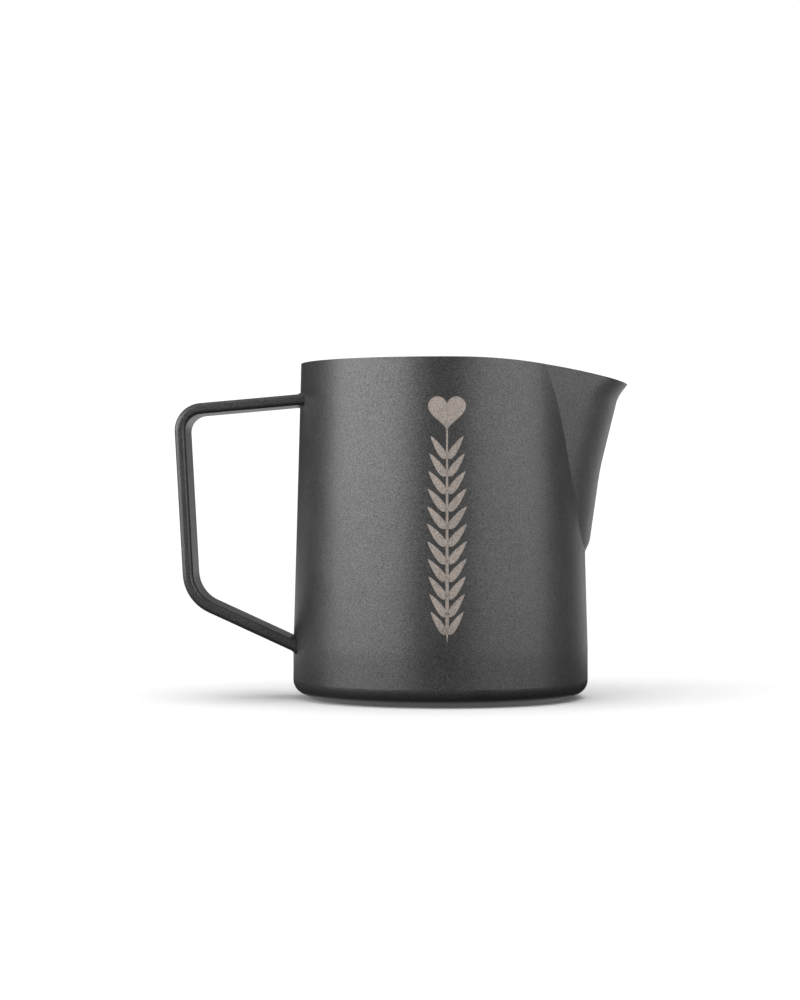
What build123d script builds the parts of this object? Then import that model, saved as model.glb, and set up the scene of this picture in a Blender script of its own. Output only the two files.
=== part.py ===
from build123d import *
from math import cos, radians, sin, tan
import os

# Milk frothing pitcher: a drawn steel cup with a pouring spout pressed into its wall and a bent
# strip handle welded to its back. Millimetres. The origin is the centre of the flat base, +Z is up,
# +X points to the spout and the handle is on the -X side. The XZ plane is the plane of symmetry.

# ---- Cup ----
base_diameter = 76.3            # outside, at the upright band above the base corner
rim_diameter = 72.3             # outside, at the open end
body_height = 86.3              # from the base to the level part of the rim
wall = 0.8                      # steel sheet
base_flat_diameter = 64.8       # the flat part that stands on the table
base_bevel_angle = 20.0         # degrees that the bevel round the flat part rises
base_edge_radius = 1.5          # outside, between the flat part and the bevel
base_corner_radius = 3.6        # outside, between the bevel and the wall
upright_height = 13.0           # the wall is upright up to here and tapers above
taper_bend_radius = 60.0        # between the upright band and the taper

# ---- Spout ----
crease_azimuth = 46.0           # degrees from +X to where the spout leaves the rim circle
flank_angle = 33.0              # degrees between a flank and the plane of symmetry, seen from above
flank_lean = 6.2                # degrees that a flank leans outwards
spout_reach = 12.3              # from the rim circle to the tip of the spout
lip_drop = 5.4                  # the tip is this much lower than the level rim
rim_level_end = 4.0             # the rim is level up to this far in front of the axis
lip_flare = 38.0                # degrees from the vertical, of the lip
lip_height = 3.2                # height of the flared lip at the tip
front_lean = 13.8               # degrees from the vertical, of the front below the lip
belly_below_rim = 27.3          # where the front bends to a steeper line
belly_lean = 8.1                # degrees from the vertical, of the front below that bend
toe_below_rim = 45.9            # where the front turns in towards the wall
toe_lean = 24.0                 # degrees from the vertical, of the turned-in toe
lip_bend_radius = 6.0
belly_bend_radius = 60.0
toe_bend_radius = 5.0
crease_radius = 1.2             # of the valley where the spout meets the round wall, outside

# ---- Handle ----
handle_width = 20.0
handle_thickness = 2.8
handle_edge_radius = 1.1        # of the strip's four long edges
handle_top_below_rim = 9.5      # centre line of the strip at the wall, below the level rim
handle_foot_height = 14.0       # centre line of the strip at the wall, above the base
grip_gap_top = 30.7             # from the wall out to the upper bend's corner
grip_gap_foot = 26.3            # from the wall out to the lower bend's corner
top_bar_drop = 2.75             # the upper bend's corner is this much lower than the bar's wall end
foot_bar_rise = 12.1            # the lower bend's corner is this much higher than the bar's wall end
top_bend_radius = 5.7           # centre line
foot_bend_radius = 10.0         # centre line

# ---- Weld beads ----
bead_thickness = 0.3            # of the collar that a bead makes round the strip
bead_length = 0.6               # how far a bead runs out from the wall along the strip

rim_margin = 1.0                # the filled cup and spout run this far above the rim before the cut
cut_margin = 3.0                # tools and blanks run past what they cut by this


def wall_radius(height):
    """Outside radius of the wall: upright near the base, then an even taper to the rim and past it."""
    share = max(0, (height - upright_height) / (body_height - upright_height))
    return (base_diameter + (rim_diameter - base_diameter) * share) / 2


def cup_blank(inset):
    """The round cup, filled, with its surface moved inwards by inset."""
    top = body_height + rim_margin
    base_end = (0, inset)
    top_end = (0, top)
    flat_radius = base_flat_diameter / 2 - inset * tan(radians(base_bevel_angle / 2))
    side_radius = wall_radius(0) - inset
    bevel_top = inset + (side_radius - flat_radius) * tan(radians(base_bevel_angle))
    side = FilletPolyline(
        base_end,
        (flat_radius, inset),
        (side_radius, bevel_top),
        (side_radius, upright_height),
        (wall_radius(top) - inset, top),
        radius=[base_edge_radius - inset, base_corner_radius - inset, taper_bend_radius],
    )
    outline = side + Line((wall_radius(top) - inset, top), top_end) + Line(top_end, base_end)
    return Rot(Z=180) * revolve(Plane.XZ * make_face(outline), Axis.Z)


def lean_down(start, height, lean):
    """The point at that height on the line through start that leans outwards by lean degrees."""
    return Vector(start.X + (height - start.Y) * tan(radians(lean)), height)


def front_line():
    """The spout's outline in the plane of symmetry, as (x, z), from its toe to above the rim."""
    tip = Vector(rim_diameter / 2 + spout_reach, body_height - lip_drop)
    lip_foot = lean_down(tip, tip.Y - lip_height, lip_flare)
    lip_end = lean_down(tip, body_height + rim_margin, lip_flare)
    belly = lean_down(lip_foot, body_height - belly_below_rim, front_lean)
    toe = lean_down(belly, body_height - toe_below_rim, belly_lean)
    inside = min(toe.X, wall_radius(toe.Y)) - cut_margin
    toe_end = Vector(inside, toe.Y - (toe.X - inside) / tan(radians(toe_lean)))
    bends = [toe_bend_radius, belly_bend_radius, lip_bend_radius]
    return FilletPolyline(toe_end, toe, belly, lip_foot, lip_end, radius=bends)


def spout_blank(inset, sections=24):
    """The spout, filled: level sections with two flat flanks and a round nose, along the front line."""
    turn = radians(flank_angle)
    crease_offset = rim_diameter / 2 * sin(radians(crease_azimuth) + turn)
    line = front_line()
    levels = []
    for i in range(sections):
        point = line @ (i / (sections - 1))
        height = point.Y
        front = point.X - inset
        flank_offset = crease_offset - (body_height - height) * tan(radians(flank_lean)) - inset
        nose_radius = (flank_offset - front * sin(turn)) / (1 - sin(turn))
        nose_centre = front - nose_radius
        back = (flank_offset * sin(turn), flank_offset * cos(turn))
        nose_start = (nose_centre + nose_radius * sin(turn), nose_radius * cos(turn))
        outline = (
            Line(back, nose_start)
            + ThreePointArc(nose_start, (front, 0), (nose_start[0], -nose_start[1]))
            + Line((nose_start[0], -nose_start[1]), (back[0], -back[1]))
            + Line((back[0], -back[1]), back)
        )
        levels.append(Plane.XY.offset(height) * make_face(outline))
    return loft(levels)


def above_rim():
    """Everything above the rim: level at the back, then a long arc down to the tip of the spout."""
    far = base_diameter
    tip_x = rim_diameter / 2 + spout_reach
    run = tip_x - rim_level_end
    arc_radius = (run**2 + lip_drop**2) / (2 * lip_drop)
    end_x = rim_level_end + run + cut_margin
    end_drop = arc_radius - (arc_radius**2 - (end_x - rim_level_end) ** 2) ** 0.5
    start = (rim_level_end, body_height)
    end = (end_x, body_height - end_drop)
    top = body_height + 2 * cut_margin
    outline = (
        Line((-far, body_height), start)
        + TangentArc(start, end, tangent=(1, 0))
        + Line(end, (far, end[1]))
        + Line((far, end[1]), (far, top))
        + Line((far, top), (-far, top))
        + Line((-far, top), (-far, body_height))
    )
    return extrude(Plane.XZ * make_face(outline), base_diameter, both=True)


def filled_body(inset):
    """The cup and its spout as one filled shape, with its surface moved inwards by inset."""
    joined = cup_blank(inset) + spout_blank(inset)
    round_wall = joined.faces().filter_by(GeomType.CONE).sort_by(SortBy.AREA)[-1]
    creases = round_wall.edges().filter_by(GeomType.BSPLINE)
    return fillet(creases, crease_radius + inset)


def pitcher_body():
    """The drawn cup: the sheet between the filled body and its inset copy, open at the rim."""
    return filled_body(0) - filled_body(wall) - above_rim()


def handle_path():
    """Centre line of the handle, from inside the wall at the top to inside the wall at the foot."""
    top_z = body_height - handle_top_below_rim
    foot_z = handle_foot_height
    top_end = Vector(-wall_radius(top_z), 0, top_z)
    foot_end = Vector(-wall_radius(foot_z), 0, foot_z)
    top_corner = top_end + Vector(-grip_gap_top, 0, -top_bar_drop)
    foot_corner = foot_end + Vector(-grip_gap_foot, 0, foot_bar_rise)
    top_start = top_end + (top_end - top_corner).normalized() * cut_margin
    foot_start = foot_end + (foot_end - foot_corner).normalized() * cut_margin
    return FilletPolyline(
        top_start, top_corner, foot_corner, foot_start, radius=[top_bend_radius, foot_bend_radius]
    )


def strip_blank(grow):
    """The strip along its path, with its surface moved outwards by grow."""
    path = handle_path()
    width = handle_width + 2 * grow
    thickness = handle_thickness + 2 * grow
    section = RectangleRounded(width, thickness, handle_edge_radius + grow)
    start = Plane(origin=path @ 0, x_dir=(0, 1, 0), z_dir=path % 0)
    return sweep(start * section, path=path)


solid_cup = cup_blank(0)
strip = strip_blank(0)
collars = (strip_blank(bead_thickness) & cup_blank(-bead_length)) - strip - solid_cup
lower_collar, upper_collar = collars.solids().sort_by(Axis.Z)
nodes = {
    "pitcher_body": pitcher_body(),
    "handle": strip - solid_cup,
    "upper_weld": upper_collar,
    "lower_weld": lower_collar,
}

os.makedirs("parts", exist_ok=True)
for name, shape in nodes.items():
    export_step(shape, f"parts/{name}.step")
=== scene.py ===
from math import cos, pi, radians, sin

import bpy
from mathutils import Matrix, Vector
from mathutils.bvhtree import BVHTree


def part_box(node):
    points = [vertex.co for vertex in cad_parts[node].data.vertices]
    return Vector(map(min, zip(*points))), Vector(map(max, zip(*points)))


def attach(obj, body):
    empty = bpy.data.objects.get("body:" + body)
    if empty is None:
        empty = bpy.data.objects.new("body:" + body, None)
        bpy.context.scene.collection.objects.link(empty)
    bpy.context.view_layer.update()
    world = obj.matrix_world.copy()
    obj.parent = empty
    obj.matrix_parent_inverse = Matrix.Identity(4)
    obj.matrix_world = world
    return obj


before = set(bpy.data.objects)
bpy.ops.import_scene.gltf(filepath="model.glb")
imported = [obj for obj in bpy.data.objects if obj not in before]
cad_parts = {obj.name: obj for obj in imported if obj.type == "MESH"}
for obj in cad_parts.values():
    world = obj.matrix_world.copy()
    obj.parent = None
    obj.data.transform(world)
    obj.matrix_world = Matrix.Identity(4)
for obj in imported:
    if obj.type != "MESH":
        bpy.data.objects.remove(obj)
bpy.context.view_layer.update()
mm = 0.001
cup_low, cup_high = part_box("pitcher_body")
cup_middle = Vector((0, 0, cup_high.z / 2))


# ---- Node helpers ----
def new_material(name):
    """An empty node material with its shader and output: returns the material, its tree and the shader."""
    material = bpy.data.materials.new(name)
    material.use_nodes = True
    tree = material.node_tree
    tree.nodes.clear()
    output = tree.nodes.new("ShaderNodeOutputMaterial")
    shader = tree.nodes.new("ShaderNodeBsdfPrincipled")
    tree.links.new(shader.outputs["BSDF"], output.inputs["Surface"])
    return material, tree, shader


def show(tree, surface):
    """Makes surface what the material shows."""
    output = next(node for node in tree.nodes if node.type == "OUTPUT_MATERIAL")
    tree.links.new(surface, output.inputs["Surface"])


def add(tree, kind, inputs=None, **settings):
    """A node of that kind, with its settings, and its inputs set to values or linked to sockets."""
    node = tree.nodes.new("ShaderNode" + kind)
    for key, value in settings.items():
        setattr(node, key, value)
    for key, value in (inputs or {}).items():
        if isinstance(value, bpy.types.NodeSocket):
            tree.links.new(value, node.inputs[key])
        else:
            node.inputs[key].default_value = value
    return node


def noise(tree, coords, size, detail=2.0, roughness=0.5):
    """Noise whose blobs are about size metres across."""
    return add(tree, "TexNoise", {"Vector": coords, "Scale": 1 / size, "Detail": detail,
                                  "Roughness": roughness}).outputs["Fac"]


def remap(tree, value, low, high, to_low, to_high):
    """The value's range low to high, stretched to to_low to to_high and held at its ends."""
    return add(tree, "MapRange", {"Value": value, "From Min": low, "From Max": high,
                                  "To Min": to_low, "To Max": to_high}).outputs["Result"]


def calc(tree, operation, first, second):
    """The result of that math operation."""
    return add(tree, "Math", {0: first, 1: second}, operation=operation).outputs[0]


def mix_value(tree, factor, first, second):
    """first where factor is 0 and second where it is 1."""
    return add(tree, "Mix", {"Factor": factor, "A": first, "B": second}).outputs["Result"]


def tinted(tree, level, tint):
    """A colour of that level, leaning towards tint."""
    parts = {i: calc(tree, "MULTIPLY", level, share) for i, share in enumerate(tint)}
    return add(tree, "CombineColor", parts).outputs[0]


def edge_mask(tree, width):
    """1 on sharp edges, fading to 0 at about width from them."""
    rounded = add(tree, "Bevel", {"Radius": width}, samples=4).outputs["Normal"]
    plain = add(tree, "NewGeometry").outputs["Normal"]
    same = add(tree, "VectorMath", {0: rounded, 1: plain}, operation="DOT_PRODUCT").outputs["Value"]
    return remap(tree, same, 0.96, 0.8, 0.0, 1.0)


# ---- Materials ----
coat_shade = 0.02                # the coat's mean reflectance
weld_painted_shade = 0.85 * coat_shade   # painted shade: a darker copy of the coat, drawn over the weld beads


def powder_coat(tree, shader, place, shade):
    """Dark grey powder coat: fine sandy grain with light flecks, faint mottling and worn edges."""
    grain = noise(tree, place, 0.33 * mm, 1.5, 0.6)
    fleck = noise(tree, place, 0.25 * mm, 1.0, 0.5)
    cloud = noise(tree, place, 11 * mm, 3.0, 0.55)
    speckle = remap(tree, grain, 0.3, 0.7, 0.6, 1.4)
    light_fleck = remap(tree, fleck, 0.64, 0.74, 0.0, 1.5)
    drift = remap(tree, cloud, 0.3, 0.7, 0.93, 1.07)
    wear = calc(tree, "MULTIPLY", edge_mask(tree, 0.35 * mm), remap(tree, cloud, 0.45, 0.65, 0.2, 1.0))
    level = calc(tree, "MULTIPLY", calc(tree, "ADD", speckle, light_fleck), drift)
    level = calc(tree, "MULTIPLY", calc(tree, "ADD", level, wear), shade)
    tree.links.new(tinted(tree, level, (1.0, 0.985, 0.985)), shader.inputs["Base Color"])
    sparkle = calc(tree, "MULTIPLY", remap(tree, grain, 0.3, 0.7, 0.34, 0.66), drift)
    tree.links.new(sparkle, shader.inputs["Specular IOR Level"])
    rough = calc(tree, "ADD", remap(tree, fleck, 0.3, 0.7, 0.35, 0.43),
                 remap(tree, cloud, 0.3, 0.7, -0.02, 0.02))
    tree.links.new(rough, shader.inputs["Roughness"])
    bump = add(tree, "Bump", {"Height": grain, "Strength": 0.4, "Distance": 0.05 * mm})
    tree.links.new(bump.outputs["Normal"], shader.inputs["Normal"])


def coat_material(name, shade):
    """Powder coat of that shade all over."""
    material, tree, shader = new_material(name)
    powder_coat(tree, shader, add(tree, "TexCoord").outputs["Object"], shade)
    return material


def brushed_steel(tree, shader, place):
    """Bare satin steel with fine level brush lines that run round the cup."""
    along = add(tree, "Mapping", {"Vector": place, "Scale": (0.02, 0.02, 1.0)}).outputs["Vector"]
    lines = noise(tree, along, 0.2 * mm, 3.0, 0.6)
    smear = noise(tree, place, 14 * mm, 3.0, 0.5)
    level = calc(tree, "MULTIPLY", remap(tree, lines, 0.3, 0.7, 0.95, 1.05),
                 remap(tree, smear, 0.3, 0.7, 0.55, 0.62))
    tree.links.new(tinted(tree, level, (1.0, 0.98, 0.95)), shader.inputs["Base Color"])
    rough = calc(tree, "ADD", remap(tree, lines, 0.3, 0.7, 0.32, 0.4),
                 remap(tree, smear, 0.3, 0.7, -0.03, 0.03))
    tree.links.new(rough, shader.inputs["Roughness"])
    shader.inputs["Metallic"].default_value = 1.0
    bump = add(tree, "Bump", {"Height": lines, "Strength": 0.1, "Distance": 0.01 * mm})
    tree.links.new(bump.outputs["Normal"], shader.inputs["Normal"])


def cup_material():
    """Powder coat outside and over the rim, bare steel inside."""
    material, tree, coat_shader = new_material("coated_cup")
    texture = add(tree, "TexCoord").outputs
    place = texture["Object"]
    powder_coat(tree, coat_shader, place, coat_shade)
    steel_shader = tree.nodes.new("ShaderNodeBsdfPrincipled")
    brushed_steel(tree, steel_shader, place)
    outwards = add(tree, "VectorMath", {0: place, 1: tuple(cup_middle)}, operation="SUBTRACT")
    facing = add(tree, "VectorMath", {0: outwards.outputs["Vector"], 1: texture["Normal"]},
                 operation="DOT_PRODUCT")
    inside = calc(tree, "LESS_THAN", facing.outputs["Value"], 0.0)
    both = add(tree, "MixShader", {0: inside, 1: coat_shader.outputs["BSDF"],
                                   2: steel_shader.outputs["BSDF"]})
    show(tree, both.outputs[0])
    return material


def etched_material():
    """Bare steel laid open by etching: matt, warm grey, with traces of coat left in its grain."""
    material, tree, shader = new_material("etched_steel")
    place = add(tree, "TexCoord").outputs["Object"]
    grain = noise(tree, place, 0.35 * mm, 3.0, 0.65)
    cloud = noise(tree, place, 6 * mm, 2.0, 0.5)
    level = calc(tree, "MULTIPLY", remap(tree, grain, 0.3, 0.65, 0.13, 0.32),
                 remap(tree, cloud, 0.3, 0.7, 0.92, 1.08))
    tree.links.new(tinted(tree, level, (1.0, 0.87, 0.775)), shader.inputs["Base Color"])
    tree.links.new(remap(tree, grain, 0.3, 0.7, 0.42, 0.58), shader.inputs["Roughness"])
    shader.inputs["Metallic"].default_value = 0.35
    bump = add(tree, "Bump", {"Height": grain, "Strength": 0.4, "Distance": 0.03 * mm})
    tree.links.new(bump.outputs["Normal"], shader.inputs["Normal"])
    return material


node_materials = {
    "pitcher_body": cup_material(),
    "handle": coat_material("coated_strip", coat_shade),
    # the weld beads get the darker painted-shade copy of the coat
    "upper_weld": coat_material("coated_upper_weld", weld_painted_shade),
    "lower_weld": coat_material("coated_lower_weld", weld_painted_shade),
}
for name, material in node_materials.items():
    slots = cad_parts[name].data.materials
    slots.clear()
    slots.append(material)


# ---- Etched leaf motif on the side of the cup ----
motif_centre = 1.0 * mm          # in front of the cup's axis, towards the spout
motif_width = 9.8 * mm
motif_low = 16.0 * mm
motif_high = 76.5 * mm
leaf_pairs = 11
leaf_rise = 4.8 * mm             # a leaf's tip is this much higher than its foot
leaf_thickness = 3.0 * mm
stem_width = 0.9 * mm
heart_height = 8.5 * mm
heart_width = 0.95 * motif_width
etch_proud = 0.02 * mm           # the motif's mesh lies this far outside the wall


def leaf_strip(side, foot_height, reach):
    """A curved leaf, as rows of (x, z) points: from the stem outwards and upwards, pointed at both ends."""
    rows = []
    steps, across = 14, 5
    for i in range(steps + 1):
        share = i / steps
        x = side * reach * share
        z = foot_height + leaf_rise * share**1.5
        half = leaf_thickness / 2 * sin(pi * share**0.8) ** 0.75
        rows.append([(x, z + half * (2 * j / across - 1)) for j in range(across + 1)])
    return rows


def stem_strip(low, high):
    """The stem, which narrows upwards and starts in a point."""
    rows = []
    steps = 60
    for i in range(steps + 1):
        share = i / steps
        half = stem_width / 2 * (1 - 0.5 * share) * min(1.0, 12 * share)
        z = low + (high - low) * share
        rows.append([(-half, z), (0, z), (half, z)])
    return rows


def half_heart(side, low, width):
    """One half of a heart curve, as rows of points from its middle line to its edge, notch to point."""
    notch, lowest, highest = 5 / 16, -17 / 16, 0.75      # heights on the curve, before it is sized
    size = heart_height / (highest - lowest)
    rows = []
    steps, across = 24, 5
    for i in range(steps + 1):
        turn = pi * i / steps
        x = side * width / 2 * sin(turn) ** 3
        z = (13 * cos(turn) - 5 * cos(2 * turn) - 2 * cos(3 * turn) - cos(4 * turn)) / 16
        middle = notch + (lowest - notch) * i / steps
        row = [(x * j / across, low + size * (middle + (z - middle) * j / across - lowest))
               for j in range(across + 1)]
        rows.append(row)
    return rows


def motif_strips():
    """The stem, its pairs of leaves and the heart on its end."""
    heart_low = motif_high - heart_height
    leaf_step = (heart_low - motif_low - leaf_rise) / leaf_pairs
    strips = [stem_strip(motif_low, heart_low + heart_height * 0.1)]
    for i in range(leaf_pairs):
        reach = motif_width / 2 * (0.8 + 0.2 * sin(pi * (i + 0.5) / leaf_pairs))
        foot = motif_low + leaf_step * (i + 0.7)
        strips += [leaf_strip(-1, foot, reach), leaf_strip(1, foot, reach)]
    return strips + [half_heart(side, heart_low, heart_width) for side in (-1, 1)]


def lay_on_cup(strips):
    """One mesh of all strips, laid on the cup's near side and a hair proud of it."""
    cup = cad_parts["pitcher_body"]
    surface = BVHTree.FromObject(cup, bpy.context.evaluated_depsgraph_get())
    points, faces = [], []
    for rows in strips:
        first, across = len(points), len(rows[0])
        for x, z in (point for row in rows for point in row):
            start = Vector((motif_centre + x, 2 * cup_low.y, z))
            spot, normal, _, _ = surface.ray_cast(start, Vector((0, 1, 0)))
            points.append(spot + normal * etch_proud)
        for i in range(len(rows) - 1):
            for j in range(across - 1):
                corner = first + i * across + j
                faces.append((corner, corner + 1, corner + across + 1, corner + across))
    mesh = bpy.data.meshes.new("etched_leaf")
    mesh.from_pydata(points, [], faces)
    mesh.polygons.foreach_set("use_smooth", [True] * len(mesh.polygons))
    motif = bpy.data.objects.new("etched_leaf", mesh)
    bpy.context.collection.objects.link(motif)
    mesh.materials.append(etched_material())
    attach(motif, "root")


lay_on_cup(motif_strips())


# ---- Stage ----
table_half_size = 1.2
table_shade = 0.55
camera_place = (-10.5 * mm, -626 * mm, 51.1 * mm)
camera_lens = 86.76
camera_sensor = 36
sky_strength = 4.2
sky_spread = 95                  # degrees


def build_floor(half_size):
    """A table that the camera sees white, fading to plain white further out. The cup's reflections see a
    painted glow on it: dim, but painted bright close under the base, behind the cup and where the right
    softbox falls."""
    mesh = bpy.data.meshes.new("floor")
    corners = [(-half_size, -half_size, 0), (half_size, -half_size, 0),
               (half_size, half_size, 0), (-half_size, half_size, 0)]
    mesh.from_pydata(corners, [], [(0, 1, 2, 3)])
    floor = bpy.data.objects.new("floor", mesh)
    bpy.context.collection.objects.link(floor)
    material, tree, shader = new_material("white_table")
    shader.inputs["Base Color"].default_value = (table_shade, table_shade, table_shade, 1)
    shader.inputs["Roughness"].default_value = 0.7
    place = add(tree, "TexCoord").outputs["Object"]
    from_axis = add(tree, "VectorMath", {0: place}, operation="LENGTH").outputs["Value"]
    spot = add(tree, "SeparateXYZ", {0: place}).outputs
    seen = add(tree, "LightPath").outputs["Is Camera Ray"]
    # painted glow, seen only in reflections: bright under the base, brighter around and behind the cup, and
    # a painted pool of light at the right front
    under = remap(tree, from_axis, cup_high.y - 3 * mm, cup_high.y - 1.5 * mm, 0.42, 0.03)
    around = remap(tree, from_axis, 0.08, 0.25, 0.0, 0.45)
    behind = remap(tree, spot["Y"], 0.08, 0.25, 0.0, 0.5)
    right = remap(tree, spot["X"], 0.1, 0.25, 0.0, 1.0)
    right_front = calc(tree, "MULTIPLY", right, remap(tree, spot["Y"], -0.02, -0.08, 0.0, 1.0))
    painted_reflection_glow = calc(tree, "ADD", calc(tree, "ADD", under, around), calc(tree, "ADD", behind, right_front))
    glow = add(tree, "Emission", {"Strength": mix_value(tree, seen, painted_reflection_glow, 1.05)})
    glow.inputs["Color"].default_value = (1, 1, 1, 1)
    fade = remap(tree, from_axis, 0.1, 0.4, 0.0, 1.0)
    plain = calc(tree, "MAXIMUM", fade, calc(tree, "SUBTRACT", 1.0, seen))
    both = add(tree, "MixShader", {0: plain, 1: shader.outputs["BSDF"], 2: glow.outputs[0]})
    show(tree, both.outputs[0])
    floor.data.materials.append(material)


def build_world():
    """Dim studio, bright behind the object and overhead; the camera sees plain white."""
    world = bpy.data.worlds.new("studio")
    bpy.context.scene.world = world
    world.use_nodes = True
    tree = world.node_tree
    tree.nodes.clear()
    direction = add(tree, "TexCoord").outputs["Generated"]
    towards = add(tree, "SeparateXYZ", {0: direction}).outputs
    backdrop = remap(tree, towards["Y"], cos(radians(16)), cos(radians(7)), 0.0, 0.6)
    ceiling = remap(tree, towards["Z"], cos(radians(48)), cos(radians(30)), 0.0, 0.8)
    level = calc(tree, "ADD", calc(tree, "ADD", backdrop, ceiling), 0.008)
    seen = add(tree, "LightPath").outputs["Is Camera Ray"]
    shown = mix_value(tree, seen, level, 1.1)
    background = add(tree, "Background", {"Strength": shown})
    background.inputs["Color"].default_value = (1, 1, 1, 1)
    output = tree.nodes.new("ShaderNodeOutputWorld")
    tree.links.new(background.outputs[0], output.inputs[0])


def softbox(name, azimuth, elevation, distance, width, height, radiance):
    """An area light that faces the cup; azimuth 0 is the camera's side and 90 is +X."""
    turn, rise = radians(azimuth), radians(elevation)
    away = Vector((sin(turn) * cos(rise), -cos(turn) * cos(rise), sin(rise)))
    data = bpy.data.lights.new(name, "AREA")
    data.shape = "RECTANGLE"
    data.size, data.size_y = width, height
    data.energy = radiance * pi * width * height
    light = bpy.data.objects.new(name, data)
    bpy.context.collection.objects.link(light)
    light.location = cup_middle + away * distance
    light.rotation_euler = (-away).to_track_quat("-Z", "Y").to_euler()


def sky_light(strength, spread):
    """Soft light from overhead, for the shadow on the table; it doesn't show in reflections."""
    data = bpy.data.lights.new("sky_light", "SUN")
    data.energy = strength
    data.angle = radians(spread)
    light = bpy.data.objects.new("sky_light", data)
    bpy.context.collection.objects.link(light)
    light.rotation_euler = (radians(-4), 0, 0)
    light.visible_glossy = False


def build_camera():
    """Level with the pitcher's middle, a little to the handle side, looking along +Y."""
    data = bpy.data.cameras.new("camera")
    data.lens = camera_lens
    data.sensor_width = camera_sensor
    camera = bpy.data.objects.new("camera", data)
    bpy.context.collection.objects.link(camera)
    camera.location = camera_place
    camera.rotation_euler = (radians(90), 0, 0)
    bpy.context.scene.camera = camera


build_floor(table_half_size)
build_world()
softbox("left_softbox", azimuth=-60, elevation=6, distance=1.0, width=1.42, height=1.0, radiance=6.7)
softbox("right_softbox", azimuth=56, elevation=6, distance=1.1, width=1.42, height=1.0, radiance=3.8)
softbox("right_rim_softbox", azimuth=146, elevation=8, distance=1.0, width=0.22, height=0.8, radiance=1.3)
sky_light(sky_strength, sky_spread)
build_camera()
bpy.context.scene.view_settings.view_transform = "Standard"
